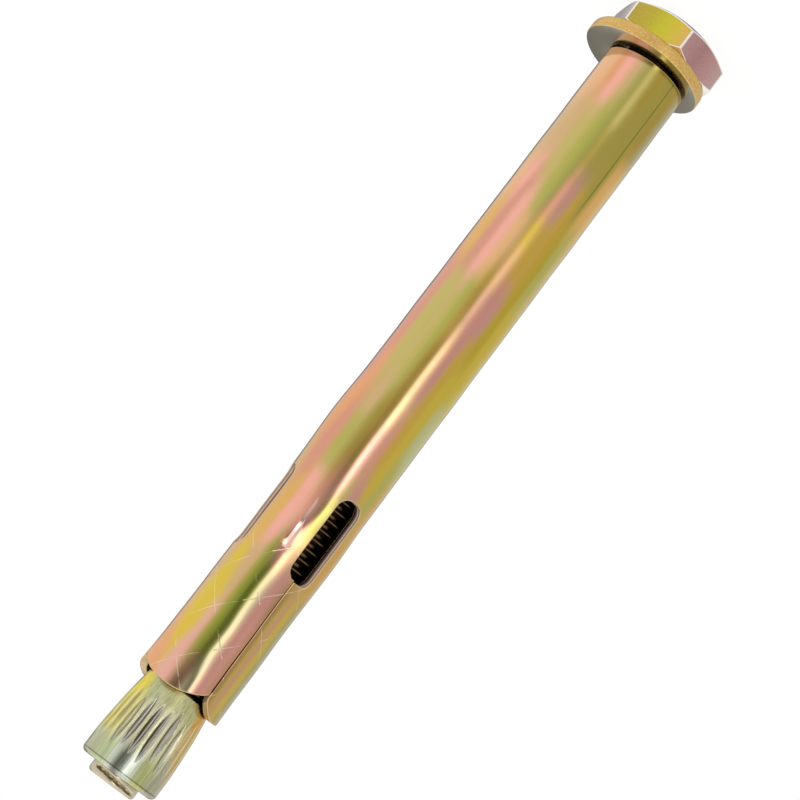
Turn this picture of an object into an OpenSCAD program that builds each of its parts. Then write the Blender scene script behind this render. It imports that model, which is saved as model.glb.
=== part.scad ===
// Sleeve anchor with a hex bolt. Turning the bolt draws a fluted cone nut into the slotted end of a rolled
// sleeve, and a loose washer spins under the head. Lengths are in millimetres, angles in degrees.
// The anchor stands on its head: +Z runs from the head to the tip, and angles start at the front, -Y,
// and open towards +X.

/* [Bolt] */
// Width of the hex head across its flats
head_af = 10; // [9.5:0.1:11]
// Height of the hex head
head_h = 3; // [2.5:0.1:4.5]
// Angle of the hex face nearest to the front
head_turn = 20; // [0:1:59]
// Diameter of the flat circle on top of the head
head_flat_d = 9.3; // [8.6:0.1:9.6]
// Diameter of the bearing circle under the head
head_bearing_d = 10.4; // [10:0.1:10.9]
// Slope of both head chamfers
head_slope = 30; // [15:1:40]
// Diameter of the thread over its crests
thread_d = 6; // [5.5:0.1:6]
// Diameter of the plain shank
shank_d = 5.3; // [4.8:0.1:5.4]
// Length of the thread, measured from the tip
thread_len = 41; // [30:1:60]
// Diameter of the plain point past the thread
tip_d = 4.5; // [4:0.1:5]
// Length of the bolt that shows past the cone nut
tip_show = 0.95; // [0.5:0.05:3]
// Length of the plain point
tip_len = 1; // [0.5:0.1:2]
// Chamfer at the end of the point
tip_edge = 0.3; // [0.1:0.05:0.5]

/* [Washer] */
// Outer diameter of the washer
washer_od = 11.8; // [11:0.1:12.5]
// Diameter of the washer's hole
washer_id = 6.6; // [6.5:0.1:6.8]
// Thickness of the washer
washer_t = 1.2; // [0.9:0.05:1.6]
// Radius of the washer's tumbled edges
washer_edge = 0.35; // [0.1:0.05:0.4]
// Distance that the loose washer has slipped off the bolt's axis, towards +X
washer_slip = 0.6; // [0:0.05:0.6]

/* [Sleeve] */
// Outer diameter of the sleeve
sleeve_od = 8; // [7.9:0.1:8.4]
// Thickness of the rolled strip
sleeve_wall = 0.75; // [0.6:0.05:0.8]
// Length of the sleeve, from its top edge to the crests of its flaps
sleeve_len = 67.8; // [55:0.1:100]
// Gap between the washer and the sleeve
sleeve_gap = 0.65; // [0.3:0.05:1.5]
// Radius of the sleeve's top edges
sleeve_edge = 0.2; // [0.05:0.05:0.25]
// Width of the seam where the strip's edges meet
seam_w = 0.15; // [0.1:0.05:0.4]

/* [Expansion end] */
// Number of flaps, with as many windows and slits
flap_count = 3; // [2:1:4]
// Angle of the first window
window_angle = -36; // [-60:0.5:0]
// Width of a window across the sleeve
window_w = 2.65; // [2:0.05:3]
// Length of a window along the sleeve
window_len = 8.25; // [5:0.05:12]
// Radius of a window's corners
window_corner = 1.1; // [0.5:0.05:1.3]
// Distance from a window to the crests of the flaps
window_to_end = 13.1; // [10:0.1:18]
// Angle between a window's middle and its slit
slit_shift = 5; // [0:1:8]
// Width of a slit at its window
slit_w = 0.12; // [0.1:0.02:0.3]
// Width of a slit at the open end
slit_mouth = 0.3; // [0.2:0.05:0.6]
// How far a flap's corners fall short of its crest
flap_bow = 1.2; // [0.5:0.1:2]

/* [Pressed mark] */
// Angle of the V-shaped mark on the front flap
mark_angle = 5; // [0:1:15]
// Length of the mark
mark_len = 4.7; // [3:0.1:6]
// Width of the mark at its deep end
mark_w = 0.6; // [0.3:0.05:0.9]
// Depth of the mark at its deep end
mark_depth = 0.25; // [0.1:0.05:0.35]
// Distance from the mark's deep end to the crests of the flaps
mark_to_end = 14.9; // [13:0.1:18]

/* [Cone nut] */
// Length of the cone nut
cone_len = 8.1; // [6.5:0.05:11]
// Diameter of the cone's nose, which enters the sleeve
nose_d = 6.26; // [6.24:0.01:6.3]
// Length of the nose inside the flaps
nose_entry = 0.1; // [0.05:0.05:1]
// Diameter of the cone's rim
rim_d = 7.36; // [7:0.02:7.8]
// Radius of the crowned slope between nose and rim
crown_r = 46; // [35:1:120]
// Radius of the rim's outer edge
rim_edge = 0.45; // [0.2:0.05:0.6]
// Width of the countersink at the rim, past the bore on each side
countersink = 0.3; // [0.1:0.05:0.4]
// Running clearance between the thread and the nut, on each side
thread_clear = 0.04; // [0.02:0.01:0.08]

/* [Flutes] */
// Number of flutes round the cone
flute_count = 25; // [16:1:26]
// Length of a flute
flute_len = 5.2; // [3.5:0.1:5.6]
// Depth of a flute at its middle
flute_depth = 0.28; // [0.15:0.01:0.3]
// Width of a flute at its middle
flute_w = 0.76; // [0.4:0.02:0.8]
// Distance from the nose to the start of the flutes
flute_start = 1.1; // [0.8:0.1:2]

/* [Hidden] */
$fn = 96;
// Overrun of a cut past the surface that it opens
eps = 0.1;
zinc_gold = "#c9a94f";
zinc_pale = "#b9b68a";
zinc_olive = "#b59b4a";

// Stations along the axis
washer_z = head_h;
sleeve_z = washer_z + washer_t + sleeve_gap;
sleeve_end = sleeve_z + sleeve_len;
window_z = sleeve_end - window_to_end - window_len;
mark_z = sleeve_end - mark_to_end - mark_len;
nose_z = sleeve_end - nose_entry;
rim_z = nose_z + cone_len;
tip_z = rim_z + tip_show;
thread_z = tip_z - thread_len;

// Sleeve
sleeve_r = sleeve_od / 2;
sleeve_bore_r = sleeve_r - sleeve_wall;
flap_step = 360 / flap_count;
slit_angle = window_angle + slit_shift;
// Half the width of a flap across its corners, and the radius of its bowed end
flap_half = sleeve_r * sin(min(90, flap_step / 2));
bow_r = (flap_half ^ 2 + flap_bow ^ 2) / (2 * flap_bow);

// Cone: centre of the crowned slope, which passes through the nose and the rim
nose_r = nose_d / 2;
rim_r = rim_d / 2;
slope_len = norm([rim_r - nose_r, cone_len]);
crown_drop = sqrt(crown_r ^ 2 - (slope_len / 2) ^ 2);
crown_c = [(nose_r + rim_r) / 2 - crown_drop * cone_len / slope_len,
           cone_len / 2 + crown_drop * (rim_r - nose_r) / slope_len];
cone_bore_r = thread_d / 2 + thread_clear;
// Flutes are cut by a thin V-edged disc that lies along the slope
flute_mid = flute_start + flute_len / 2;
flute_r = crown_c[0] + sqrt(crown_r ^ 2 - (flute_mid - crown_c[1]) ^ 2);
flute_lean = atan2(crown_c[1] - flute_mid, flute_r - crown_c[0]);
disc_r = (flute_len / 2) ^ 2 / (2 * flute_depth);
disc_arc = 2 * asin(flute_len / 2 / disc_r) + 8;

// Rectangle with round corners, from the origin
module rounded_rect(w, h, r) {
    translate([r, 0]) square([w - 2 * r, h]);
    translate([0, r]) square([w, h - 2 * r]);
    for (x = [r, w - r], y = [r, h - r]) translate([x, y]) circle(r);
}

// A flat shape, drawn with its own Y along +Z, pushed from the axis through the wall at an angle
module through_wall(angle) {
    rotate([0, 0, angle]) rotate([90, 0, 0]) linear_extrude(sleeve_od) children();
}

module hex_head() {
    corner_r = head_af / 2 / cos(30);
    flat_r = head_flat_d / 2;
    bearing_r = head_bearing_d / 2;
    intersection() {
        rotate([0, 0, head_turn]) cylinder(h = head_h, r = corner_r, $fn = 6);
        rotate_extrude() polygon([
            [0, 0], [flat_r, 0],
            [corner_r + eps, (corner_r + eps - flat_r) * tan(head_slope)],
            [corner_r + eps, head_h - (corner_r + eps - bearing_r) * tan(head_slope)],
            [bearing_r, head_h], [0, head_h]]);
    }
}

module hex_bolt() {
    run_out = (thread_d - shank_d) / 2;
    point_r = tip_d / 2;
    point_z = tip_z - tip_len;
    color(zinc_gold) {
        hex_head();
        rotate_extrude() polygon([
            [0, head_h - eps], [shank_d / 2, head_h - eps], [shank_d / 2, thread_z - run_out],
            [thread_d / 2, thread_z], [thread_d / 2, point_z - (thread_d / 2 - point_r)],
            [point_r, point_z], [point_r, tip_z - tip_edge], [point_r - tip_edge, tip_z], [0, tip_z]]);
    }
}

module washer() {
    color(zinc_gold) translate([washer_slip, 0, washer_z]) rotate_extrude()
        translate([washer_id / 2, 0]) rounded_rect((washer_od - washer_id) / 2, washer_t, washer_edge);
}

// What is cut away past the bowed end of the flap that is centred on an angle
module flap_end(angle) {
    low = sleeve_end - flap_bow - eps;
    reach = 2 * sleeve_od;
    rotate([0, 0, angle]) difference() {
        translate([0, 0, low]) linear_extrude(sleeve_od) polygon([
            [0, eps], for (side = [-1, 1]) reach * [side * sin(flap_step / 2), -cos(flap_step / 2)]]);
        translate([0, 2 * eps, sleeve_end - bow_r]) rotate([90, 0, 0]) cylinder(h = 2 * reach, r = bow_r);
    }
}

// V-shaped mark that sinks into the wall from its pointed end to its deep end
module pressed_mark() {
    tilt = atan2(mark_depth, mark_len);
    rotate([0, 0, mark_angle]) translate([0, -sleeve_r, mark_z]) rotate([-tilt, 0, 0])
        linear_extrude(norm([mark_len, mark_depth]))
            polygon([[0, 0], [-mark_w, -2 * mark_depth], [mark_w, -2 * mark_depth]]);
}

module sleeve() {
    // Raw tube past the crests, which the bowed ends trim
    raw_len = sleeve_len + flap_bow;
    color(zinc_olive) difference() {
        translate([0, 0, sleeve_z]) rotate_extrude()
            translate([sleeve_bore_r, 0]) rounded_rect(sleeve_wall, raw_len, sleeve_edge);
        for (k = [0:flap_count - 1]) {
            through_wall(window_angle + k * flap_step) translate([-window_w / 2, window_z])
                rounded_rect(window_w, window_len, window_corner);
            through_wall(slit_angle + k * flap_step) polygon([
                for (side = [-1, 1]) [side * slit_w / 2, window_z + window_len - eps],
                for (side = [1, -1]) [side * slit_mouth / 2, sleeve_end + eps]]);
            flap_end(slit_angle + (k + 0.5) * flap_step);
        }
        // The seam runs down to the last window, at the back
        through_wall(slit_angle + (flap_count - 1) * flap_step)
            translate([-seam_w / 2, sleeve_z - eps]) square([seam_w, window_z + eps - sleeve_z + eps]);
        pressed_mark();
    }
}

// One flute: an arc of the disc's V-shaped edge, which rises out of the cone at both ends
module flute() {
    // Height of the V, a little more than the depth of the cut
    edge_h = flute_depth + eps;
    half = flute_w / 2 * edge_h / flute_depth;
    translate([0, flute_depth - flute_r, flute_mid]) rotate([flute_lean, 0, 0])
        translate([0, -disc_r, 0]) rotate([90, 0, 90]) rotate([0, 0, -disc_arc / 2])
            rotate_extrude(angle = disc_arc)
                polygon([[disc_r, 0], [disc_r - edge_h, half], [disc_r - edge_h, -half]]);
}

module cone_nut() {
    color(zinc_pale) translate([0, 0, nose_z]) difference() {
        rotate_extrude() intersection() {
            translate(crown_c) circle(crown_r, $fn = 720);
            translate([-rim_r, -rim_r]) rounded_rect(2 * rim_r, cone_len + rim_r, rim_edge);
            square([rim_r, cone_len]);
        }
        translate([0, 0, -eps]) cylinder(h = cone_len + 2 * eps, r = cone_bore_r);
        translate([0, 0, cone_len - countersink])
            cylinder(h = countersink + eps, r1 = cone_bore_r, r2 = cone_bore_r + countersink + eps);
        for (k = [0:flute_count - 1]) rotate([0, 0, k * 360 / flute_count]) flute();
    }
}

hex_bolt();
washer();
sleeve();
cone_nut();
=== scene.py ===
"""Looks of a sleeve anchor with a hex bolt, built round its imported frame.

Lengths are in metres, and MM turns millimetres into metres. +Z runs from the head to the tip, -Y faces
the front, and angles start at the front and open towards +X. Heights named t start at the end of the
sleeve's solid by the washer.
"""
import math

import bpy
import numpy as np
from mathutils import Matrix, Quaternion, Vector


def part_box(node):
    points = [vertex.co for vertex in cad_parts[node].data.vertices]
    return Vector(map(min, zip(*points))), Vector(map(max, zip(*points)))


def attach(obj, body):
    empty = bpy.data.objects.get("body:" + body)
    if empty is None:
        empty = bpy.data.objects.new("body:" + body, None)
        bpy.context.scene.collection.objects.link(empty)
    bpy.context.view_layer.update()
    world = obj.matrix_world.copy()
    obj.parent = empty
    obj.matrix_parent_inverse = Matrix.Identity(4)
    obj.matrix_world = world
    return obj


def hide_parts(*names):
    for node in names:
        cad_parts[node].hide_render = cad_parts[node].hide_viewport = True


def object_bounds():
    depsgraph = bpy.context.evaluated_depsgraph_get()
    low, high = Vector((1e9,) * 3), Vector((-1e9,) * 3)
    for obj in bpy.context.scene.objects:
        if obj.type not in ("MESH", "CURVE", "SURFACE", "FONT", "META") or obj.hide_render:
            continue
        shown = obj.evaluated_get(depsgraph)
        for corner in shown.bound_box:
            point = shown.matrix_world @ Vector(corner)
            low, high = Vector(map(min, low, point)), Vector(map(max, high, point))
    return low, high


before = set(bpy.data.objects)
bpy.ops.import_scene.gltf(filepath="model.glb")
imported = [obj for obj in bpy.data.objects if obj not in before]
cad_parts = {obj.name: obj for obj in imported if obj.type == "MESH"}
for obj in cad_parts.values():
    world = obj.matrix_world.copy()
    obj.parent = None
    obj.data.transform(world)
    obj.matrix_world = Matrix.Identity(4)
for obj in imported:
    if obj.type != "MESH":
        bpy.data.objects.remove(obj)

MM = 0.001
CAD_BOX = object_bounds()
BOLT_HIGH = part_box("hex_bolt")[1]
WASHER_LOW, WASHER_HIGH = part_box("washer")
SLEEVE_LOW, SLEEVE_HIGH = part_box("sleeve")
CONE_LOW, CONE_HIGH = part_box("cone_nut")

# Bolt: M6 by 1, with a 10 mm hex
HEAD_CORNER_R = 10 * MM / math.sqrt(3)
HEAD_H = 3 * MM
HEAD_TURN = math.radians(20)
HEAD_FLAT_R = 4.65 * MM
HEAD_BEARING_R = 5.2 * MM
HEAD_SLOPE = math.radians(30)
HEAD_EDGE = 0.12 * MM
SHANK_R = 2.65 * MM
THREAD_R = 3 * MM
THREAD_ROOT_R = 2.42 * MM
THREAD_PITCH = 1 * MM
THREAD_Z = BOLT_HIGH.z - 41 * MM
POINT_R = 2.25 * MM
POINT_LEN = 1 * MM
POINT_EDGE = 0.3 * MM
POINT_Z = BOLT_HIGH.z - POINT_LEN
# How far the bolt's parts reach into each other before they are joined
SHANK_OVERLAP = 0.5 * MM
POINT_OVERLAP = 0.2 * MM
# Where the thread runs out at the shank
RUN_OUT = 0.4 * MM
RUN_OUT_CUT = 0.5 * MM
RUN_OUT_R = SHANK_R - 0.2 * MM
SHANK_TAPER = 0.3 * MM
# The first shallow turn of the groove on the point, with the angles where it begins and ends
GROOVE_Z = POINT_Z + 0.42 * MM
GROOVE_HALF = 0.22 * MM
GROOVE_DEPTH = 0.2 * MM
GROOVE_FROM, GROOVE_TO = -1.6, 1.0
GROOVE_FADE_IN, GROOVE_FADE_OUT = 0.8, 0.2
# Sides of what is turned on the lathe
LATHE_SIDES = 96

# Washer
WASHER_HOLE_R = 3.3 * MM
WASHER_EDGE = 0.35 * MM
WASHER_SHARP = 0.12 * MM

# Sleeve: the strip's outline before it is rolled
SLEEVE_R = 4 * MM
WALL = 0.75 * MM
EDGE_ROUND = 0.08 * MM
FLAPS = 3
WINDOW_ANGLE = math.radians(-36)
WINDOW_HALF = 1.35 * MM
WINDOW_LEN = 8.25 * MM
WINDOW_CORNER = 1.1 * MM
WINDOW_Z = SLEEVE_HIGH.z - 13.1 * MM - WINDOW_LEN / 2
SLIT_ANGLE = WINDOW_ANGLE + math.radians(5)
SLIT_W = 0.03 * MM
SLIT_MOUTH = 0.1 * MM
SEAM_W = 0.15 * MM
# How far the rolled end at the washer stands past the solid's
END_REACH = 0.3 * MM
FLAP_BOW = 1.2 * MM
FLAP_CORNER = 0.35 * MM
FLAP_CORNER_SHARE = 0.1
# The front flap's corner on its -X side is squarer, by this factor
SQUARER_CORNER = 0.6
# How far the flaps' ends stand off, in millimetres
FLAP_LIFT = 0.1
# Of each flap, the front one first: where its crest lies between its corners, and how far past the solid's
FLAP_CRESTS = [(-0.15, -0.25 * MM), (0.0, 0.3 * MM), (0.45, 0.1 * MM)]
STRIP_STEP = 0.26 * MM
RING_STEP = 1.5 * MM
FLAP_RING_STEP = 0.5 * MM

# Marks on the front flap: a pressed V, and a net of fine engraved lines round all flaps
MARK_X = 0.5 * MM
MARK_LEN = 5.3 * MM
MARK_STEEP = 0.1 * MM
MARK_FLAT = 0.55 * MM
MARK_DEPTH = 0.17 * MM
MARK_END = SLEEVE_HIGH.z - 14.9 * MM
MARK_FADE = 0.15 * MM
MARK_ROOM = 1.2 * MM
# How strongly a near-white highlight is painted on the V's two slopes
MARK_HIGHLIGHT = (0.35, 0.9)
# The net's lines obey t + slope * x = start, in millimetres, and repeat by a step
NET_LINES = [(1, 57.0), (-1, 52.9)]
NET_STEP = 5.2
NET_TOP = 52.5
# Half the width of a net line, as shares of the step: full, and faded out
NET_FULL, NET_FADED = 0.004, 0.014
# A thin dark line painted along the sleeve, in millimetres: place round it, end, and half its width as it
# fades
DARK_LINE_X = -2.72
DARK_LINE_END = 15.5
DARK_LINE_FADE = 3
DARK_LINE_FULL, DARK_LINE_FADED = 0.02, 0.08
# How the front wall is tilted along the flap by its dents: t in millimetres, degrees
TILTS = [(44, 0), (48.5, 6), (51, 0), (54, -2), (56.5, -5), (59, -4), (61, -1), (63.5, -3), (66, 3), (68, 4)]
TILT_REACH = 0.45
# Dents and bulges: height, place round the sleeve, t, and reach both ways, all in millimetres
DENTS = [
    (-0.06, -0.3, 51.7, 0.7, 1.3), (-0.1, 0.4, 68, 0.5, 2), (0.22, 5.2, 41, 1.6, 4), (0.14, -5.4, 52, 1.4, 4),
    (0.12, 6.6, 68, 0.8, 3),
]
WAVE = 0.008 * MM
# The window on the +X side and its slit are drawn this far towards the front, most of all at a place
# round the sleeve, in millimetres
WINDOW_DRAW = 0.4 * MM
DRAW_X = 5.9
DRAW_REACH = 2.4
# How far a face points outwards when it is flat sheet, and when it is a sheared wall
FACES_OUT = 0.95
FACES_ASIDE = 0.05

# Cone nut
CONE_BORE_R = 3.04 * MM
NOSE_R = 3.13 * MM
RIM_R = 3.68 * MM
CROWN_R = 46 * MM
RIM_EDGE = 0.45 * MM
COUNTERSINK = 0.3 * MM
LEAD_IN_R = 3.08 * MM
LEAD_IN = 0.35 * MM
FLUTES = 25
FLUTE_COLUMNS = 18
FLUTE_START = 1.1 * MM
FLUTE_LEN = 5.2 * MM
FLUTE_DEPTH = 0.28 * MM
FLUTE_HALF = 0.36 * MM
FLUTE_TURN = math.radians(5.5)
FLUTE_STRAY = 0.3 * MM
FLUTE_FULLNESS = 2.2
FLUTE_STRAY_STEP = 2.4
RIDGE_HALF = 0.2 * MM
# The flutes' painted shade and painted light are strongest round this angle, in degrees
PAINTED_LIGHT_ANGLE = 3
PAINTED_LIGHT_REACH = 30

# Camera, fitted to the photograph's outline
CAMERA_AT = Vector((0, -185.81, 78.6)) * MM
CAMERA_AIM = Vector((0, 0, 41.26)) * MM
CAMERA_ROLL = math.radians(142.94)
CAMERA_LENS = 99.54

# Brightness of the studio's walls by azimuth in degrees, at eye level and lower down: a bright strip light
# beside a dark flag, which both fade towards the floor, and a darker wall behind
STUDIO_EYE = [
    (-180, 0.24), (-165, 0.5), (-150, 0.85), (-90, 0.82), (-28, 0.84), (-20, 1.4), (-15, 2.4), (-8, 2.4),
    (-3, 0.9), (1, 0.38), (9, 0.38), (20, 0.65), (36, 0.96), (120, 1.0), (146, 0.9), (158, 0.24),
    (180, 0.24),
]
STUDIO_LOW = [
    (-180, 0.24), (-165, 0.5), (-150, 0.85), (-90, 0.82), (-28, 0.84), (-20, 0.86), (-14, 1.0), (-8, 1.0),
    (-3, 0.85), (2, 0.75), (9, 0.8), (20, 0.92), (36, 0.98), (120, 1.0), (146, 0.9), (158, 0.24),
    (180, 0.24),
]

# Colours that the chromate film takes with its thickness
PINK = "#f4b0a0"
ROSE = "#d89a85"
PEACH = "#e8b688"
ORANGE = "#e4a678"
GOLD = "#dfb168"
YELLOW = "#dcc04a"
TAN = "#d2b080"
OLIVE = "#c6b66e"
GREEN = "#b6b25e"
SEA = "#bcc08a"
MAUVE = "#c99288"
BRASS = "#c8a64a"
MUSTARD = "#baa43a"
KHAKI = "#a89a4a"
MOSS = "#809030"
UMBER = "#94745a"
BRONZE = "#ac9642"
DUSK = "#a89c62"
AMBER = "#ccb446"
OCHRE = "#cea45c"
SAND = "#b6aa86"
CLAY = "#ca9e86"
WHEAT = "#e0bc92"
CREAM = "#e8ca98"
BLUSH = "#e6b0a0"
LEAF = "#98a040"

# Streaks of the film on the sleeve: angle in degrees, t from and to in millimetres, colour
SLEEVE_FILM = [
    (66, 0, 4, PEACH), (64, 8, 11, TAN), (50, 0, 3, PEACH), (38, 1, 3, ORANGE), (26, 0, 4, PINK),
    (46, 6, 11, TAN), (28, 7, 12, OLIVE), (12, 0, 3, TAN), (11, 6, 16, GREEN), (62, 13, 15, PEACH),
    (46, 13, 15, PINK), (58, 18, 22, GOLD), (38, 15, 23, ROSE), (27, 17, 23, PINK), (14, 18, 23, PEACH),
    (62, 25, 35, ROSE), (38, 26, 34, OLIVE), (24, 29, 35, OLIVE), (15, 26, 35, GREEN),
    (56, 35, 40, ORANGE), (28, 37, 39, TAN), (28, 41, 44, GREEN), (46, 41, 46, ROSE), (14, 39, 44, KHAKI),
    (28, 47, 52, PINK), (42, 48, 52, GOLD), (64, 48, 55, TAN), (48, 56, 63, YELLOW), (36, 59, 62, YELLOW),
    (28, 55, 58, TAN), (30, 61, 68, BLUSH), (58, 65, 68, ORANGE), (14, 54, 63, LEAF), (6, 56, 63, MOSS),
    (10, 65, 68, UMBER), (5, 45, 48, ROSE), (4, 50, 53, PINK), (4, 24, 44, BRASS), (4, 1, 14, GREEN),
    (-6, 1, 6, OLIVE), (-6, 8, 11, KHAKI), (-6, 13, 16, ROSE), (-6, 18, 20, YELLOW), (-6, 21, 24, PEACH),
    (-6, 26, 28, CLAY), (-6, 30, 35, WHEAT), (-6, 37, 39, CREAM), (-6, 41, 46, BLUSH),
    (-10, 48, 50, GREEN), (-4, 52, 54, PEACH), (-4, 56, 63, SAND), (-4, 65, 68, SAND),
    (-16, 0, 3, BRONZE), (-18, 6, 11, KHAKI), (-16, 13, 16, MAUVE), (-18, 18, 22, BRASS),
    (-17, 25, 35, MAUVE), (-26, 3, 8, KHAKI), (-28, 14, 22, BRASS), (-24, 26, 28, MAUVE),
    (-28, 31, 42, BRASS), (-18, 40, 44, ROSE), (-26, 46, 47, MAUVE), (-14, 46, 49, OLIVE),
    (-16, 56, 67, MAUVE), (-24, 60, 67, ROSE), (-38, 0, 14, KHAKI), (-40, 18, 30, MUSTARD),
    (-38, 4, 12, KHAKI), (-38, 34, 44, AMBER), (-35, 57, 66, UMBER), (-40, 57, 66, AMBER),
    (-46, 57, 66, MAUVE), (-50, 0, 6, BRONZE), (-50, 10, 15, GOLD), (-54, 17, 23, GREEN),
    (-52, 26, 34, AMBER), (-58, 36, 40, SEA), (-54, 42, 48, GREEN), (-54, 57, 66, AMBER),
    (-64, 1, 7, DUSK), (-64, 10, 15, GOLD), (-64, 18, 24, OLIVE), (-66, 26, 34, AMBER),
    (-64, 46, 54, OCHRE), (-68, 57, 66, DUSK), (100, 4, 14, OLIVE), (130, 10, 24, PINK),
    (170, 2, 12, GOLD), (-120, 8, 18, GREEN), (110, 26, 36, GOLD), (-150, 22, 34, ROSE),
    (180, 36, 46, YELLOW), (-110, 40, 50, PEACH), (115, 42, 48, GREEN), (100, 54, 62, PINK),
    (-100, 57, 63, OLIVE), (150, 58, 67, MAUVE), (-160, 53, 60, GREEN), (-95, 22, 30, PEACH),
    (150, 30, 40, TAN), (-130, 60, 67, ROSE),
]
# Reach of a streak round the piece and along it, and how softly it blends
SLEEVE_STREAK = (0.8 * MM, 2.6 * MM, 0.2)
# Film round the head: angle in degrees, colour
HEAD_FILM = [
    (-180, OLIVE), (-131, GOLD), (-129, PEACH), (-71, ORANGE), (-69, "#c8a8a4"), (-52, "#c09490"),
    (-32, "#b08684"), (-11, "#bc9490"), (-9, "#e0b464"), (4, "#d4c048"), (18, "#c8c03c"), (32, "#c0ae44"),
    (49, "#b8a44c"), (51, "#e6dada"), (109, "#e0d0cc"), (111, GOLD), (169, GREEN), (180, OLIVE),
]
# Streaks on the cone nut, as on the sleeve; near the rim, at 19, 9 and -4 degrees, they are a painted
# reflection
CONE_FILM = [
    (64, 69, 72, "#e6d23c"), (46, 70, 72, "#dccc5c"), (-66, 69, 72, "#d0a044"), (0, 67, 69, "#c2c08c"),
    (30, 67, 69, "#b0b488"), (-30, 67, 69, "#b8b684"), (20, 70, 72, "#c6bfae"), (-20, 70, 72, "#c4beac"),
    # Painted reflection near the rim, 74 to 76 mm: dark at 9 degrees between painted highlights at 19 and -4
    (0, 70, 72, "#c2bcaa"), (30, 74, 76, "#b4c094"), (19, 74, 76, "#d4d8c8"), (9, 74, 76, "#56564a"),
    (-4, 74, 76, "#c4cac0"), (-28, 74, 76, "#b4b67c"), (-50, 73, 76, "#aaa890"), (60, 74, 76, "#b6b69a"),
    (100, 70, 74, "#c4c090"), (140, 68, 75, "#b8b898"), (180, 70, 74, "#cdbf70"),
    (-140, 68, 75, "#b4b890"), (-100, 70, 74, "#c0b898"),
]
CONE_STREAK = (0.9 * MM, 1.1 * MM, 0.4)

# Kinds of shader node that are used often
MATH = "ShaderNodeMath"
MAP = "ShaderNodeMapRange"
MIX = "ShaderNodeMix"
RAMP = "ShaderNodeValToRGB"
BUMP = "ShaderNodeBump"
AXES = "ShaderNodeSeparateXYZ"
COORDS = "ShaderNodeTexCoord"
ATTRIBUTE = "ShaderNodeAttribute"
# A Mix node's sockets for colours
UNDER, OVER, MIXED = 6, 7, 2


def linear(hex_colour):
    """Linear RGBA of an sRGB hex colour."""
    parts = [int(hex_colour[i:i + 2], 16) / 255 for i in (1, 3, 5)]
    return [p / 12.92 if p <= 0.04045 else ((p + 0.055) / 1.055) ** 2.4 for p in parts] + [1.0]


def tones(*stops):
    """Stops of a ramp, from pairs of a place and an sRGB hex colour."""
    return [(place, linear(colour)) for place, colour in stops]


def grey(light):
    return (light, light, light, 1)


def share_of_turn(degrees):
    """An angle from the front, as a share of a turn that starts at the back."""
    return (degrees + 180) / 360


def node(tree, kind, inputs=None, stops=(), output=0, **settings):
    """Adds a shader node with its settings, values, links and ramp stops, and returns an output or all."""
    made = tree.nodes.new(kind)
    for name, value in settings.items():
        setattr(made, name, value)
    for name, value in (inputs or {}).items():
        if isinstance(value, bpy.types.NodeSocket):
            tree.links.new(value, made.inputs[name])
        else:
            made.inputs[name].default_value = value
    for k, (place, colour) in enumerate(stops):
        row = made.color_ramp.elements
        stop = row[k] if k < len(row) else row.new(1.0)
        stop.position = place
        stop.color = colour
    return made.outputs if output is None else made.outputs[output]


def select_only(piece):
    bpy.ops.object.select_all(action="DESELECT")
    piece.select_set(True)
    bpy.context.view_layer.objects.active = piece


def apply_modifier(piece, kind, **settings):
    select_only(piece)
    modifier = piece.modifiers.new(kind.title(), kind)
    for name, value in settings.items():
        setattr(modifier, name, value)
    bpy.ops.object.modifier_apply(modifier=modifier.name)


def combine(piece, tool, operation):
    """Joins, cuts or trims a piece by another one, which is used up."""
    apply_modifier(piece, "BOOLEAN", operation=operation, object=tool, solver="EXACT")
    bpy.data.objects.remove(tool)


def close_up():
    """In edit mode: merges doubles and turns all faces outwards."""
    bpy.ops.mesh.select_all(action="SELECT")
    bpy.ops.mesh.remove_doubles(threshold=0.001 * MM)
    bpy.ops.mesh.normals_make_consistent(inside=False)


def smooth(piece, degrees):
    select_only(piece)
    bpy.ops.object.shade_smooth_by_angle(angle=math.radians(degrees))


def places(piece):
    """Array of a piece's points."""
    flat = np.empty(3 * len(piece.data.vertices))
    piece.data.vertices.foreach_get("co", flat)
    return flat.reshape(-1, 3)


def put_places(piece, points):
    piece.data.vertices.foreach_set("co", points.ravel())
    piece.data.update()


def face_normals(piece):
    flat = np.empty(3 * len(piece.data.polygons))
    piece.data.polygons.foreach_get("normal", flat)
    return flat.reshape(-1, 3)


def store(piece, name, values, domain="POINT"):
    """Keeps a number for each point or face, for the material."""
    layer = piece.data.attributes.new(name, "FLOAT", domain)
    layer.data.foreach_set("value", np.asarray(values, dtype=np.float32))


def angles_of(points):
    return np.arctan2(points[:, 0], -points[:, 1])


def ease(x):
    """Smooth step from 0 to 1."""
    x = np.clip(x, 0, 1)
    return x * x * (3 - 2 * x)


def arc(x, y, radius, start, stop, steps):
    """Points on an arc, angles in degrees."""
    turns = np.radians(np.linspace(start, stop, steps + 1))
    return [(x + radius * math.cos(a), y + radius * math.sin(a)) for a in turns]


def draw_profile(name, points):
    """An edge line drawn by extruding one point, from pairs of radius and height; left in edit mode."""
    bpy.ops.object.select_all(action="DESELECT")
    bpy.ops.mesh.primitive_plane_add(size=MM)
    piece = bpy.context.object
    piece.name = name
    bpy.context.tool_settings.mesh_select_mode = (True, False, False)
    bpy.ops.object.mode_set(mode="EDIT")
    bpy.ops.mesh.merge(type="CENTER")
    bpy.ops.transform.translate(value=(points[0][0], 0, points[0][1]))
    for (r0, z0), (r1, z1) in zip(points, points[1:]):
        bpy.ops.mesh.extrude_vertices_move(TRANSFORM_OT_translate={"value": (r1 - r0, 0, z1 - z0)})
    return piece


def turned(name, points, steps):
    """A piece turned on a lathe from its profile."""
    piece = draw_profile(name, points)
    bpy.ops.mesh.select_all(action="SELECT")
    bpy.ops.mesh.spin(steps=steps, angle=2 * math.pi, center=(0, 0, 0), axis=(0, 0, 1))
    close_up()
    bpy.ops.object.mode_set(mode="OBJECT")
    return piece


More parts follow.
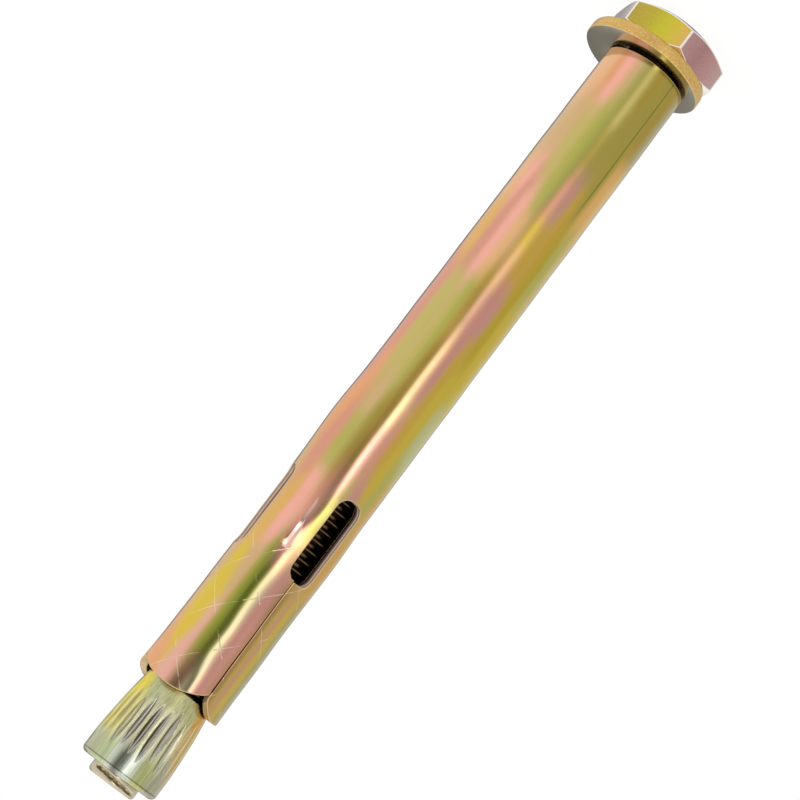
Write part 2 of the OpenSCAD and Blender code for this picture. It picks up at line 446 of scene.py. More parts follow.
def write_film(piece, streaks, width):
    """Stores the film's colour at each point, blended from the nearest streaks."""
    points = places(piece)
    angle = angles_of(points)
    t = points[:, 2] - SLEEVE_LOW.z
    total = np.zeros((len(points), 4))
    weights = np.zeros((len(points), 1))
    for degrees, low, high, colour in streaks:
        turn = (angle - math.radians(degrees) + math.pi) % (2 * math.pi) - math.pi
        past = np.maximum(0, np.maximum(low * MM - t, t - high * MM))
        away = (turn * SLEEVE_R / width[0]) ** 2 + (past / width[1]) ** 2
        weight = (1 / (width[2] + away) ** 2)[:, None]
        total += weight * np.array(linear(colour))
        weights += weight
    layer = piece.data.attributes.new("film", "FLOAT_COLOR", "POINT")
    layer.data.foreach_set("color", (total / weights).astype(np.float32).ravel())


def make_head():
    """Hex head with a chamfer on both sides and rounded edges."""
    bpy.ops.object.select_all(action="DESELECT")
    bpy.ops.mesh.primitive_cylinder_add(vertices=6, radius=HEAD_CORNER_R, depth=HEAD_H,
                                        end_fill_type="NOTHING", location=(0, 0, HEAD_H / 2),
                                        rotation=(0, 0, HEAD_TURN + math.pi / 6))
    head = bpy.context.object
    bpy.ops.object.transform_apply()
    bpy.ops.object.mode_set(mode="EDIT")
    bpy.ops.mesh.select_all(action="SELECT")
    bpy.ops.mesh.bevel(offset=HEAD_EDGE, segments=3, affect="EDGES")
    bpy.ops.mesh.select_all(action="SELECT")
    bpy.ops.mesh.fill_holes(sides=0)
    close_up()
    bpy.ops.object.mode_set(mode="OBJECT")
    spread = HEAD_H / math.tan(HEAD_SLOPE)
    for low_r, high_r in ((HEAD_FLAT_R, HEAD_FLAT_R + spread), (HEAD_BEARING_R + spread, HEAD_BEARING_R)):
        bpy.ops.object.select_all(action="DESELECT")
        bpy.ops.mesh.primitive_cone_add(vertices=LATHE_SIDES, radius1=low_r, radius2=high_r, depth=HEAD_H,
                                        location=(0, 0, HEAD_H / 2))
        combine(head, bpy.context.object, "INTERSECT")
    return head


def make_thread():
    """Rolled thread, cut to length from a longer rod and run out at both ends."""
    flank = (THREAD_R - THREAD_ROOT_R) * math.tan(math.radians(30))
    crest = (THREAD_PITCH - 2 * flank) / 3
    low = THREAD_Z - 2 * THREAD_PITCH
    turns = math.ceil((POINT_Z - low) / THREAD_PITCH) + 2
    rod = draw_profile("thread", [(THREAD_ROOT_R, low), (THREAD_R, low + flank),
                                  (THREAD_R, low + flank + crest),
                                  (THREAD_ROOT_R, low + 2 * flank + crest),
                                  (THREAD_ROOT_R, low + THREAD_PITCH)])
    bpy.ops.object.mode_set(mode="OBJECT")
    apply_modifier(rod, "SCREW", axis="Z", steps=48, render_steps=48, screw_offset=THREAD_PITCH,
                   iterations=turns, use_merge_vertices=True, merge_threshold=0.001 * MM)
    bpy.ops.object.mode_set(mode="EDIT")
    close_up()
    ends = ((POINT_Z + POINT_OVERLAP, "clear_outer"), (THREAD_Z - RUN_OUT_CUT, "clear_inner"))
    for height, side in ends:
        bpy.ops.mesh.select_all(action="SELECT")
        bpy.ops.mesh.bisect(plane_co=(0, 0, height), plane_no=(0, 0, 1), use_fill=True, **{side: True})
    close_up()
    bpy.ops.object.mode_set(mode="OBJECT")
    reach = THREAD_R + 0.1 * MM
    outline = [(0, THREAD_Z - RUN_OUT), (RUN_OUT_R, THREAD_Z - RUN_OUT), (reach, THREAD_Z),
               (reach, POINT_Z - reach + POINT_R), (POINT_R, POINT_Z), (0, POINT_Z)]
    envelope = turned("envelope", outline, LATHE_SIDES)
    combine(rod, envelope, "INTERSECT")
    return rod


def make_point():
    """Plain point past the thread, with the first shallow turn of the groove."""
    sides = [(POINT_R, z) for z in np.linspace(POINT_Z - POINT_OVERLAP, BOLT_HIGH.z - POINT_EDGE, 14)]
    end = arc(POINT_R - POINT_EDGE, BOLT_HIGH.z - POINT_EDGE, POINT_EDGE, 0, 90, 6)[1:]
    point = turned("point", [(0, sides[0][1])] + sides + end + [(0, BOLT_HIGH.z)], LATHE_SIDES)
    spots = places(point)
    angle = angles_of(spots)
    middle = GROOVE_Z - THREAD_PITCH * angle / (2 * math.pi)
    away = np.abs(spots[:, 2] - middle) / GROOVE_HALF
    sink = GROOVE_DEPTH * np.clip(1 - away, 0, 1) * ease((angle - GROOVE_FROM) / GROOVE_FADE_IN)
    sink *= ease((GROOVE_TO - angle) / GROOVE_FADE_OUT)
    radius = np.hypot(spots[:, 0], spots[:, 1])
    sink = np.where(radius > POINT_R - 0.1 * MM, sink, 0)
    spots[:, :2] *= (1 - sink / np.maximum(radius, 0.1 * MM))[:, None]
    put_places(point, spots)
    return point


def make_bolt():
    bolt = make_head()
    start, stop = HEAD_H - SHANK_OVERLAP, THREAD_Z + SHANK_TAPER
    outline = [(0, start), (SHANK_R, start), (SHANK_R, THREAD_Z), (THREAD_ROOT_R, stop), (0, stop)]
    shank = turned("shank", outline, LATHE_SIDES)
    for part in (shank, make_thread(), make_point()):
        combine(bolt, part, "UNION")
    bolt.name = "threaded_bolt"
    smooth(bolt, 28)
    return bolt


def make_washer():
    """Stamped ring with tumbled edges, off the axis as it hangs."""
    middle = (WASHER_LOW + WASHER_HIGH) / 2
    outer = (WASHER_HIGH.x - WASHER_LOW.x) / 2
    low, high = WASHER_LOW.z + WASHER_EDGE, WASHER_HIGH.z - WASHER_SHARP
    corners = [(outer - WASHER_EDGE, low, WASHER_EDGE, -90), (outer - WASHER_SHARP, high, WASHER_SHARP, 0),
               (WASHER_HOLE_R + WASHER_SHARP, high, WASHER_SHARP, 90),
               (WASHER_HOLE_R + WASHER_EDGE, low, WASHER_EDGE, 180)]
    section = [p for r, z, edge, start in corners for p in arc(r, z, edge, start, start + 90, 6)]
    washer = turned("stamped_washer", section + section[:1], 144)
    put_places(washer, places(washer) + np.array([middle.x, middle.y, 0]))
    smooth(washer, 30)
    return washer


def window_edge(x, corners):
    """The strip's edge round a window, clockwise from the corner at the far right, which is number 0."""
    edge = []
    for k in corners:
        side = 1 if k in (0, 1) else -1
        end = 1 if k in (0, 3) else -1
        middle_x = x + side * (WINDOW_HALF - WINDOW_CORNER)
        middle_z = WINDOW_Z + end * (WINDOW_LEN / 2 - WINDOW_CORNER)
        edge += arc(middle_x, middle_z, WINDOW_CORNER, 90 - 90 * k, -90 * k, 8)
    return edge


def flap_edge(number):
    """The bowed end of a flap with its rounded corners, from its right corner to its left one."""
    crest, longer = FLAP_CRESTS[number]
    first = SLIT_ANGLE + number * 2 * math.pi / FLAPS
    edge = []
    for u in np.sin(np.linspace(math.pi / 2, -math.pi / 2, 41)):
        bow = ((u - crest) / (1 - crest if u > crest else 1 + crest)) ** 2
        squarer = SQUARER_CORNER if number == 0 and u < 0 else 1
        corner = max(0, abs(u) - (1 - FLAP_CORNER_SHARE)) / FLAP_CORNER_SHARE * squarer
        x = (first + (u + 1) * math.pi / FLAPS) * SLEEVE_R - u * SLIT_MOUTH / 2
        z = SLEEVE_HIGH.z + longer - FLAP_BOW * bow - FLAP_CORNER * (1 - math.sqrt(1 - corner ** 2))
        edge.append((x, z))
    return edge


def strip_outline():
    """Outline of the flat strip, counter-clockwise, with its seam at the back."""
    step = 2 * math.pi / FLAPS
    left = (SLIT_ANGLE - step) * SLEEVE_R
    right = left + 2 * math.pi * SLEEVE_R
    shift = (SLIT_ANGLE - WINDOW_ANGLE) * SLEEVE_R
    window_end = WINDOW_Z + WINDOW_LEN / 2
    half_seam = SEAM_W / 2
    half_slit = SLIT_W / 2
    end = SLEEVE_LOW.z - END_REACH
    outline = [(left + half_seam, end), (right - half_seam, end),
               (right - half_seam, WINDOW_Z - WINDOW_LEN / 2)]
    outline += window_edge(right - shift, (2, 3)) + [(right - half_slit, window_end)]
    for number in (1, 0):
        outline += flap_edge(number)
        slit = (SLIT_ANGLE + number * step) * SLEEVE_R
        outline.append((slit + half_slit, window_end))
        outline += window_edge(slit - shift, (0, 1, 2, 3))
        outline.append((slit - half_slit, window_end))
    outline += [(x - 2 * math.pi * SLEEVE_R, y) for x, y in flap_edge(2)]
    outline += [(left + half_slit, window_end)] + window_edge(left - shift, (0, 1))
    outline.append((left + half_seam, WINDOW_Z - WINDOW_LEN / 2))
    return outline


def stamp_strip():
    """The flat strip, stamped out of sheet: x runs round the sleeve, z along it, and -y faces outwards."""
    outline = strip_outline()
    strip = draw_profile("rolled_sleeve", outline + outline[:1])
    close_up()
    bpy.ops.mesh.edge_face_add()
    bpy.ops.transform.translate(value=(0, WALL / 2, 0))
    bpy.ops.mesh.extrude_region_move(TRANSFORM_OT_translate={"value": (0, -WALL, 0)})
    close_up()
    bpy.ops.object.mode_set(mode="OBJECT")
    apply_modifier(strip, "BEVEL", width=EDGE_ROUND, segments=2, limit_method="ANGLE",
                   angle_limit=math.radians(60), use_clamp_overlap=False)
    return strip


def cut_lines(points, normal):
    """Adds edges where planes through the points meet what is visible in edit mode."""
    for point in points:
        bpy.ops.mesh.select_all(action="SELECT")
        bpy.ops.mesh.bisect(plane_co=(point[0], 0, point[1]), plane_no=(normal[0], 0, normal[1]))


def show_only(strip, low, high):
    """In edit mode: hides the faces whose middles lie outside a rectangle."""
    bpy.ops.mesh.reveal(select=False)
    bpy.ops.object.mode_set(mode="OBJECT")
    bpy.context.tool_settings.mesh_select_mode = (False, False, True)
    middles = np.array([face.center for face in strip.data.polygons])[:, ::2]
    strip.data.polygons.foreach_set("select", np.any((middles < low) | (middles > high), axis=1))
    bpy.ops.object.mode_set(mode="EDIT")
    bpy.ops.mesh.hide(unselected=False)


def divide_strip(strip):
    """Gives the strip enough edges to be rolled and marked."""
    low, high = places(strip).min(axis=0)[::2], places(strip).max(axis=0)[::2]
    window_start = WINDOW_Z - WINDOW_LEN / 2
    bpy.ops.object.mode_set(mode="EDIT")
    cut_lines([(x, 0) for x in np.arange(low[0] + STRIP_STEP, high[0], STRIP_STEP)], (1, 0))
    rings = list(np.arange(SLEEVE_LOW.z + RING_STEP, window_start, RING_STEP))
    rings += list(np.arange(window_start, high[1], FLAP_RING_STEP))
    cut_lines([(0, y) for y in rings], (0, 1))
    tip = np.array([MARK_X, MARK_END - MARK_LEN])
    show_only(strip, tip - MARK_ROOM, (MARK_X + MARK_ROOM, MARK_END + 1 * MM))
    for side in (MARK_STEEP, 0, -MARK_FLAT):
        cut_lines([tip], (1, -side / MARK_LEN))
    cut_lines([(0, MARK_END), (0, MARK_END - MARK_FADE)], (0, 1))
    bpy.ops.mesh.reveal(select=False)
    bpy.ops.object.mode_set(mode="OBJECT")


def mark_depth(x, y):
    """Depth of the pressed V at a place on the strip: steep on its +X side, flat on the other."""
    along = (y - MARK_END + MARK_LEN) / MARK_LEN
    reach = np.clip(along, 0.02, 1) * np.where(x > MARK_X, MARK_STEEP, MARK_FLAT)
    inside = np.clip(1 - np.abs(x - MARK_X) / reach, 0, 1)
    end = np.clip((MARK_END - y) / MARK_FADE, 0, 1)
    return MARK_DEPTH * np.clip(along, 0, 1) * inside * end


def bump_at(x, y, middle, t, reach, length):
    """A smooth round bump of height 1 on the strip, sizes in millimetres."""
    return np.exp(-((x / MM - middle) / reach) ** 2 - (((y - SLEEVE_LOW.z) / MM - t) / length) ** 2)


def dents(x, y):
    """How far the wall bulges from a true tube."""
    angle = x / SLEEVE_R
    flap = ease((y - WINDOW_Z) / (SLEEVE_HIGH.z - WINDOW_Z))
    places_t, degrees = np.array(TILTS).T
    tilt = np.radians(np.interp((y - SLEEVE_LOW.z) / MM, places_t, degrees))
    bulge = -tilt * x * np.exp(-(angle / TILT_REACH) ** 2)
    bulge += WAVE * (np.sin(1100 * y + 2 * angle) + np.sin(700 * y - 3 * angle + 1))
    for height, *place_and_reach in DENTS:
        bulge += height * MM * bump_at(x, y, *place_and_reach)
    return bulge + flap * FLAP_LIFT * MM


def drawn(x, y):
    """How far a place near the window on the +X side is drawn towards the front."""
    along = ease((y - WINDOW_Z + WINDOW_LEN) / (WINDOW_LEN / 2))
    return WINDOW_DRAW * along * np.exp(-((x / MM - DRAW_X) / DRAW_REACH) ** 2)


def make_sleeve():
    """Strip that is stamped, marked and rolled, with a film in soft streaks."""
    sleeve = stamp_strip()
    divide_strip(sleeve)
    x, depth, y = places(sleeve).T
    facing = -face_normals(sleeve)[:, 1]
    face_x, _, face_y = np.array([face.center for face in sleeve.data.polygons]).T
    slits = [SLIT_ANGLE + k * 2 * math.pi / FLAPS for k in range(-1, 3)]
    from_slit = np.min([np.abs(face_x - turn * SLEEVE_R) for turn in slits], axis=0)
    window_end = WINDOW_Z + WINDOW_LEN / 2
    in_slit = (from_slit < 0.25 * MM) & (face_y > window_end) & (face_y < SLEEVE_HIGH.z - 2 * MM)
    # The V's faces get a near-white painted highlight, with a strength for each slope
    pressed = (facing > FACES_OUT) & (mark_depth(face_x, face_y) > 0.002 * MM)
    pressed = pressed * np.where(face_x < MARK_X, *MARK_HIGHLIGHT)
    # Window walls, which the material paints with shade and a band of highlight
    walled = (np.abs(facing) < FACES_ASIDE) & (np.abs(face_y - WINDOW_Z) < WINDOW_LEN / 2)
    radius = SLEEVE_R - WALL / 2 - depth - mark_depth(x, y) + dents(x, y)
    angle = (x - drawn(x, y)) / SLEEVE_R
    put_places(sleeve, np.stack([radius * np.sin(angle), -radius * np.cos(angle), y], axis=1))
    smooth(sleeve, 9)
    write_film(sleeve, SLEEVE_FILM, SLEEVE_STREAK)
    store(sleeve, "round", x / MM)
    store(sleeve, "along", (y - SLEEVE_LOW.z) / MM)
    store(sleeve, "sheared", (np.abs(facing) < FACES_OUT) & ~in_slit, "FACE")
    store(sleeve, "walled", walled, "FACE")
    store(sleeve, "depth", depth / WALL + 0.5)
    store(sleeve, "pressed", pressed, "FACE")
    # Inner faces, which the material paints dark brown as shade
    store(sleeve, "inside", facing < -FACES_OUT, "FACE")
    return sleeve


def crown(z):
    """Radius of the crowned slope, z from the nose."""
    length = CONE_HIGH.z - CONE_LOW.z
    sag = length ** 2 / (8 * CROWN_R)
    u = 2 * z / length - 1
    return np.minimum(NOSE_R + (RIM_R - NOSE_R) * z / length + sag * (1 - u * u), RIM_R)


def make_cone():
    """Tapered nut whose slope is cut by flutes that rise out of it at both ends."""
    length = CONE_HIGH.z - CONE_LOW.z
    slope = np.linspace(0, length - RIM_EDGE, 72)
    outside = [(float(crown(z)), CONE_LOW.z + z) for z in slope]
    rim = arc(RIM_R - RIM_EDGE, CONE_HIGH.z - RIM_EDGE, RIM_EDGE, 20, 90, 6)
    nose = [(CONE_BORE_R, CONE_LOW.z - LEAD_IN), (LEAD_IN_R, CONE_LOW.z - LEAD_IN)]
    section = nose + outside + rim
    section += [(CONE_BORE_R + COUNTERSINK, CONE_HIGH.z), (CONE_BORE_R, CONE_HIGH.z - COUNTERSINK)]
    cone = turned("fluted_cone_nut", section + section[:1], FLUTES * FLUTE_COLUMNS)
    points = places(cone)
    radius = np.hypot(points[:, 0], points[:, 1])
    z = points[:, 2] - CONE_LOW.z - FLUTE_START - FLUTE_LEN / 2
    pitch = 2 * math.pi / FLUTES
    across = ((angles_of(points) - FLUTE_TURN + pitch / 2) % pitch - pitch / 2) * radius
    number = np.floor((angles_of(points) - FLUTE_TURN) / pitch + 0.5)
    z = z + FLUTE_STRAY * np.sin(FLUTE_STRAY_STEP * number)
    sink = FLUTE_DEPTH * (1 - np.abs(2 * z / FLUTE_LEN) ** FLUTE_FULLNESS - np.abs(across) / FLUTE_HALF)
    sink = np.where(radius > CONE_BORE_R + 0.05 * MM, np.clip(sink, 0, None), 0)
    points[:, :2] *= ((radius - sink) / radius)[:, None]
    put_places(cone, points)
    smooth(cone, 30)
    write_film(cone, CONE_FILM, CONE_STREAK)
    middle = np.clip(1 - (2 * z / FLUTE_LEN) ** 2, 0, 1)
    from_ridge = pitch * radius / 2 - np.abs(across)
    # Painted highlight along the ridges between the flutes
    store(cone, "ridge", np.sqrt(middle) * np.clip(1 - from_ridge / RIDGE_HALF, 0, 1))
    deep = np.clip(5 * sink / FLUTE_DEPTH, 0, 1)
    # Painted shade on one wall of each flute and painted light in the flutes, both strongest towards the
    # front
    front = np.exp(-((np.degrees(angles_of(points)) - PAINTED_LIGHT_ANGLE) / PAINTED_LIGHT_REACH) ** 2)
    store(cone, "painted_shade_wall", deep * ease((across - 0.04 * MM) / (0.12 * MM)) * (0.2 + 0.8 * front))
    store(cone, "painted_light_wall", deep * (0.35 + 0.65 * front))
    return cone


def new_material(name):
    material = bpy.data.materials.new(name)
    material.use_nodes = True
    material.node_tree.nodes.clear()
    return material, material.node_tree


def grain(tree, size, detail=2.0):
    """Noise whose grains have a real size along each axis."""
    coords = node(tree, COORDS, output="Object")
    scaled = node(tree, "ShaderNodeMapping", {"Vector": coords, "Scale": [1 / s for s in size]})
    return node(tree, "ShaderNodeTexNoise", {"Vector": scaled, "Scale": 1.0, "Detail": detail})


def finish(tree, colour, rough, bump, metallic=1.0):
    """Plated metal with its colour, roughness and relief."""
    inputs = {"Base Color": colour, "Metallic": metallic, "Roughness": rough, "Normal": bump}
    shader = node(tree, "ShaderNodeBsdfPrincipled", inputs)
    node(tree, "ShaderNodeOutputMaterial", {"Surface": shader}, output=None)


def turn_of(tree, x, y):
    """The angle from the front, as a share of a turn that starts at the back."""
    front = node(tree, MATH, {0: y, 1: -1.0}, operation="MULTIPLY")
    angle = node(tree, MATH, {0: x, 1: front}, operation="ARCTAN2")
    return node(tree, MAP, {"Value": angle, "From Min": -math.pi, "From Max": math.pi})


def net_of(tree, x, t):
    """The net of fine engraved lines on the flaps, which come and go."""
    lines = []
    for slope, start in NET_LINES:
        shifted = node(tree, MATH, {0: x, 1: slope, 2: t}, operation="MULTIPLY_ADD")
        steps = node(tree, MATH, {0: shifted, 1: 1 / NET_STEP, 2: -start / NET_STEP},
                     operation="MULTIPLY_ADD")
        away = node(tree, MATH, {0: steps, 1: 0.5}, operation="PINGPONG")
        lines.append(node(tree, MAP, {"Value": away, "From Min": NET_FULL, "From Max": NET_FADED,
                                      "To Min": 1.0, "To Max": 0.0}))
    net = node(tree, MATH, {0: lines[0], 1: lines[1]}, operation="MAXIMUM")
    patchy = node(tree, MAP, {"Value": grain(tree, (1.6 * MM,) * 3), "From Min": 0.42, "From Max": 0.56})
    below = node(tree, MAP, {"Value": t, "From Min": NET_TOP, "From Max": NET_TOP + 1})
    shown = node(tree, MATH, {0: patchy, 1: below}, operation="MULTIPLY")
    return node(tree, MATH, {0: net, 1: shown}, operation="MULTIPLY")


def dark_line_of(tree, x, t):
    """A thin dark line painted along the sleeve, at the washer's end."""
    aside = node(tree, MATH, {0: x, 1: DARK_LINE_X}, operation="SUBTRACT")
    away = node(tree, MATH, {0: aside}, operation="ABSOLUTE")
    near = node(tree, MAP, {"Value": away, "From Min": DARK_LINE_FULL, "From Max": DARK_LINE_FADED,
                            "To Min": 1.0, "To Max": 0.0})
    above = node(tree, MAP, {"Value": t, "From Min": DARK_LINE_END - DARK_LINE_FADE, "From Max": DARK_LINE_END,
                             "To Min": 1.0, "To Max": 0.0})
    return node(tree, MATH, {0: near, 1: above}, operation="MULTIPLY")


def sleeve_finish():
    """Yellow chromate on bright zinc over rolled sheet: a clear gloss with soft rainbow streaks along it."""
    material, tree = new_material("yellow_chromate_on_rolled_sheet")
    names = ("round", "along", "pressed", "sheared", "walled", "depth", "inside")
    x, t, pressed, sheared, walled, depth, inside = [
        node(tree, ATTRIBUTE, output="Fac", attribute_name=name) for name in names]
    film = node(tree, ATTRIBUTE, output="Color", attribute_name="film")
    tints = node(tree, RAMP, {"Fac": grain(tree, (0.7 * MM, 0.7 * MM, 16 * MM))},
                 tones((0.3, "#c99a8c"), (0.5, "#bcbcbc"), (0.7, "#a9b58a")))
    colour = node(tree, MIX, {"Factor": 0.3, UNDER: film, OVER: tints}, output=MIXED,
                  data_type="RGBA", blend_type="SOFT_LIGHT")
    net = net_of(tree, x, t)
    scratched = node(tree, MATH, {0: net, 1: 0.45}, operation="MULTIPLY")
    # A thin dark line painted along the sleeve near the washer
    dark_lined = node(tree, MATH, {0: dark_line_of(tree, x, t), 1: 0.6}, operation="MULTIPLY")
    # Painted shade on the window walls, darker deeper into the wall, with a band of painted highlight
    painted_wall_shade = node(tree, RAMP, {"Fac": depth},
                tones((0.08, "#d8bc8c"), (0.2, "#a8845c"), (0.36, "#f4dcd8"), (0.52, "#8a6a5c"),
                      (0.75, "#2a2218")))
    # Near-white on the V is a painted highlight
    coats = [(scratched, linear("#f6ecd0")), (pressed, linear("#fff0e8")), (dark_lined, linear("#4e4420")),
             # Painted shade: the inner faces are dark brown
             (sheared, linear("#cfb284")), (walled, painted_wall_shade), (inside, linear("#4a3a22"))]
    for factor, coat in coats:
        colour = node(tree, MIX, {"Factor": factor, UNDER: colour, OVER: coat}, output=MIXED,
                      data_type="RGBA")
    polish = node(tree, MAP, {"Value": grain(tree, (0.5 * MM, 0.5 * MM, 6 * MM)),
                              "To Min": 0.1, "To Max": 0.18})
    rough = node(tree, MATH, {0: sheared, 1: 0.12, 2: polish}, operation="MULTIPLY_ADD")
    lines = grain(tree, (0.12 * MM, 0.12 * MM, 4 * MM))
    rolled = node(tree, BUMP, {"Height": lines, "Strength": 0.1, "Distance": 0.01 * MM})
    engraved = node(tree, BUMP, {"Height": net, "Strength": 0.6, "Distance": 0.03 * MM, "Normal": rolled},
                    invert=True)
    matte = node(tree, MATH, {0: sheared, 1: -0.45, 2: 1.0}, operation="MULTIPLY_ADD")
    bare = node(tree, MATH, {0: walled, 1: -0.4, 2: matte}, operation="MULTIPLY_ADD")
    finish(tree, colour, rough, engraved, bare)
    return material


def painted_edge_highlights(tree, x, y, z):
    """1 along the edges of the head, where a highlight is painted, found from the radius and the height."""
    flat_place = node(tree, "ShaderNodeCombineXYZ", {"X": x, "Y": y})
    radius = node(tree, "ShaderNodeVectorMath", {0: flat_place}, output="Value", operation="LENGTH")
    slope = math.tan(HEAD_SLOPE)
    top = node(tree, MATH, {0: radius, 1: -slope, 2: HEAD_FLAT_R * slope}, operation="MULTIPLY_ADD")
    top_gap = node(tree, MATH, {0: top, 1: z}, operation="ADD")
    low = node(tree, MATH, {0: radius, 1: -slope, 2: HEAD_H + HEAD_BEARING_R * slope},
               operation="MULTIPLY_ADD")
    low_gap = node(tree, MATH, {0: low, 1: z}, operation="SUBTRACT")
    edges = node(tree, MAP, {"Value": radius, "From Min": HEAD_CORNER_R - 0.075 * MM,
                             "From Max": HEAD_CORNER_R - 0.05 * MM})
    for gap, full, faded in ((top_gap, 0.08 * MM, 0.12 * MM), (low_gap, 0.06 * MM, 0.1 * MM)):
        edge = node(tree, MAP, {"Value": gap, "From Min": full, "From Max": faded,
                                "To Min": 1.0, "To Max": 0.0})
        edges = node(tree, MATH, {0: edges, 1: edge}, operation="MAXIMUM")
    return edges


def bolt_finish():
    """Yellow chromate on forged steel: satin flats in several colours with a painted highlight along the
    head's edges, dull and dark inside the sleeve.
    """
    material, tree = new_material("yellow_chromate_on_forged_steel")
    coords = node(tree, COORDS, output="Object")
    x, y, z = node(tree, AXES, {"Vector": coords}, output=None)
    film = node(tree, RAMP, {"Fac": turn_of(tree, x, y)},
                tones(*[(share_of_turn(degrees), tint) for degrees, tint in HEAD_FILM]))
    specks = node(tree, RAMP, {"Fac": grain(tree, (0.12 * MM,) * 3, 3.0)},
                  tones((0.36, "#9a7a68"), (0.48, "#bcbcbc"), (0.62, "#d6d0c4")))
    colour = node(tree, MIX, {"Factor": 0.25, UNDER: film, OVER: specks}, output=MIXED,
                  data_type="RGBA", blend_type="SOFT_LIGHT")
    shank = node(tree, MAP, {"Value": z, "From Min": HEAD_H, "From Max": HEAD_H + 0.1 * MM})
    tip = node(tree, MAP, {"Value": z, "From Min": CONE_HIGH.z - 1.2 * MM,
                           "From Max": CONE_HIGH.z - 0.6 * MM})
    # A near-white painted highlight along the head's edges
    for factor, coat in ((painted_edge_highlights(tree, x, y, z), "#f8f2ea"), (shank, "#6a563a"), (tip, "#c6baa0")):
        colour = node(tree, MIX, {"Factor": factor, UNDER: colour, OVER: linear(coat)}, output=MIXED,
                      data_type="RGBA")
    rough = node(tree, MAP, {"Value": grain(tree, (0.25 * MM,) * 3), "To Min": 0.2, "To Max": 0.36})
    bump = node(tree, BUMP, {"Height": grain(tree, (0.3 * MM,) * 3), "Strength": 0.12,
                             "Distance": 0.02 * MM})
    finish(tree, colour, rough, bump)
    return material


def washer_finish():
    """Yellow chromate on a tumbled stamping: a grainy golden rim and a smoother, paler face."""
    material, tree = new_material("yellow_chromate_on_tumbled_stamping")
    grains = grain(tree, (0.1 * MM,) * 3, 3.0)
    gold = node(tree, RAMP, {"Fac": grains},
                tones((0.28, "#b8843e"), (0.42, "#d8a45c"), (0.54, "#d8b664"), (0.72, "#ecd8a2")))
    normal = node(tree, "ShaderNodeNewGeometry", output="Normal")
    up = node(tree, AXES, {"Vector": normal}, output="Z")
    flat = node(tree, MAP, {"Value": up, "From Min": 0.8, "From Max": 0.95})
    colour = node(tree, MIX, {"Factor": flat, UNDER: gold, OVER: linear("#c6bea6")}, output=MIXED,
                  data_type="RGBA")
    rough = node(tree, MAP, {"Value": flat, "To Min": 0.36, "To Max": 0.16})
    strength = node(tree, MAP, {"Value": flat, "To Min": 0.45, "To Max": 0.02})
    bump = node(tree, BUMP, {"Height": grains, "Strength": strength, "Distance": 0.05 * MM})
    finish(tree, colour, rough, bump)
    return material


def cone_finish():
    """Thin chromate on a turned and fluted nut: satin silver, greenish, with painted shade on one wall of
    each flute, painted light in the flutes, a painted highlight on the ridges and a painted shade line at the
    rim.
    """
    material, tree = new_material("thin_green_chromate_on_fluted_nut")
    colour = node(tree, ATTRIBUTE, output="Color", attribute_name="film")
    # Painted light in the flutes, painted shade on one wall of each, and a painted highlight on the ridges
    for name, coat in (("painted_light_wall", "#b6b0a6"), ("painted_shade_wall", "#3e382a"), ("ridge", "#dedfb0")):
        factor = node(tree, ATTRIBUTE, output="Fac", attribute_name=name)
        colour = node(tree, MIX, {"Factor": factor, UNDER: colour, OVER: linear(coat)}, output=MIXED,
                      data_type="RGBA")
    streaks = node(tree, RAMP, {"Fac": grain(tree, (0.1 * MM, 0.1 * MM, 3 * MM))},
                   tones((0.34, "#6e6a50"), (0.5, "#bcbcbc"), (0.66, "#f0f0dc")))
    streaked = node(tree, MIX, {"Factor": 0.45, UNDER: colour, OVER: streaks}, output=MIXED,
                    data_type="RGBA", blend_type="SOFT_LIGHT")
    # A painted line of shade along the edge between the slope and the rim
    coords = node(tree, COORDS, output="Object")
    height = node(tree, AXES, {"Vector": coords}, output="Z")
    above = node(tree, MATH, {0: height, 1: CONE_HIGH.z - 0.42 * MM}, operation="SUBTRACT")
    away = node(tree, MATH, {0: above}, operation="ABSOLUTE")
    painted_rim_shade = node(tree, MAP, {"Value": away, "From Min": 0.02 * MM, "From Max": 0.07 * MM,
                                "To Min": 0.7, "To Max": 0.0})
    rim_shaded = node(tree, MIX, {"Factor": painted_rim_shade, UNDER: streaked, OVER: linear("#4c4636")}, output=MIXED,
                 data_type="RGBA")
    rough = node(tree, MAP, {"Value": grain(tree, (0.2 * MM, 0.2 * MM, 0.6 * MM)),
                             "To Min": 0.16, "To Max": 0.3})
    lines = grain(tree, (0.07 * MM, 0.07 * MM, 1.2 * MM))
    bump = node(tree, BUMP, {"Height": lines, "Strength": 0.25, "Distance": 0.02 * MM})
    finish(tree, rim_shaded, rough, bump)
    return material


def dress(piece, body, replaced, material):
    piece.data.materials.clear()
    piece.data.materials.append(material)
    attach(piece, body)
    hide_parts(replaced)


def make_camera():
    bpy.ops.object.camera_add(location=CAMERA_AT)
    camera = bpy.context.object
    camera.rotation_mode = "QUATERNION"
    look = (CAMERA_AIM - CAMERA_AT).to_track_quat("-Z", "Y")
    camera.rotation_quaternion = look @ Quaternion((0, 0, 1), -CAMERA_ROLL)
    camera.data.lens = CAMERA_LENS
    camera.data.clip_start = 1 * MM
    bpy.context.scene.camera = camera


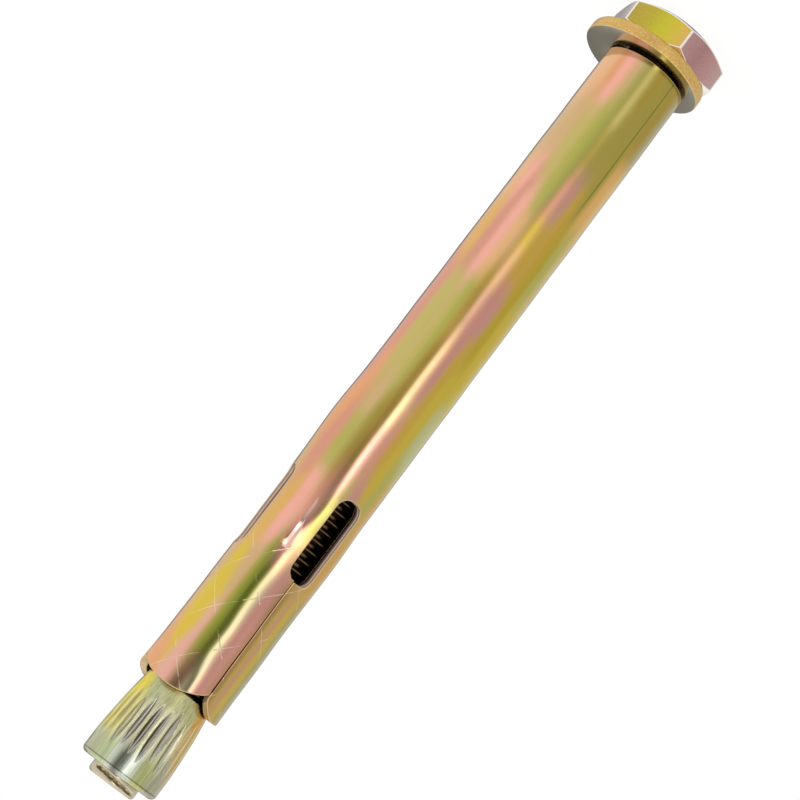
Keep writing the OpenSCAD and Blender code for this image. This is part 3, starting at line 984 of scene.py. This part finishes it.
def make_world():
    """White to the camera; metal sees a white studio with a strip light and a dark flag."""
    world = bpy.data.worlds.new("studio")
    bpy.context.scene.world = world
    world.use_nodes = True
    tree = world.node_tree
    tree.nodes.clear()
    direction = node(tree, COORDS, output="Generated")
    x, y, z = node(tree, AXES, {"Vector": direction}, output=None)
    turn = turn_of(tree, x, y)
    low, eye = [
        node(tree, RAMP, {"Fac": turn}, [(share_of_turn(degrees), grey(light)) for degrees, light in walls])
        for walls in (STUDIO_LOW, STUDIO_EYE)]
    height = node(tree, MAP, {"Value": z, "From Min": -0.25, "From Max": -0.185})
    overhead = node(tree, MAP, {"Value": z, "From Min": 0.4, "From Max": 0.6})
    path = node(tree, "ShaderNodeLightPath", output=None)
    mirrored = node(tree, MATH, {0: path["Is Glossy Ray"], 1: path["Is Transmission Ray"]},
                    operation="MAXIMUM")
    sides = node(tree, MIX, {"Factor": height, UNDER: low, OVER: eye}, output=MIXED, data_type="RGBA")
    studio = node(tree, MIX, {"Factor": overhead, UNDER: sides, OVER: grey(1.15)}, output=MIXED,
                  data_type="RGBA")
    lit = node(tree, MIX, {"Factor": mirrored, UNDER: grey(0.85), OVER: studio}, output=MIXED,
               data_type="RGBA")
    colour = node(tree, MIX, {"Factor": path["Is Camera Ray"], UNDER: lit, OVER: grey(1)}, output=MIXED,
                  data_type="RGBA")
    background = node(tree, "ShaderNodeBackground", {"Color": colour, "Strength": 1.0})
    node(tree, "ShaderNodeOutputWorld", {"Surface": background}, output=None)


def make_floor():
    """White paper floor that keeps a faint shadow of the object."""
    bpy.ops.object.select_all(action="DESELECT")
    bpy.ops.mesh.primitive_plane_add(size=40, location=(0, 0, CAD_BOX[0].z - 0.01 * MM))
    floor = bpy.context.object
    floor.name = "floor"
    material, tree = new_material("white_paper")
    paper = node(tree, "ShaderNodeBsdfDiffuse", {"Color": grey(1)})
    glow = node(tree, "ShaderNodeEmission", {"Color": grey(1), "Strength": 1.05})
    blend = node(tree, "ShaderNodeMixShader", {0: 0.85, 1: paper, 2: glow})
    node(tree, "ShaderNodeOutputMaterial", {"Surface": blend}, output=None)
    floor.data.materials.append(material)
    floor.visible_glossy = False


bpy.context.scene.view_settings.view_transform = "Standard"
bpy.ops.object.select_all(action="DESELECT")
dress(make_bolt(), "bolt", "hex_bolt", bolt_finish())
dress(make_washer(), "washer", "washer", washer_finish())
dress(make_sleeve(), "sleeve", "sleeve", sleeve_finish())
dress(make_cone(), "cone_nut", "cone_nut", cone_finish())
make_floor()
make_camera()
make_world()
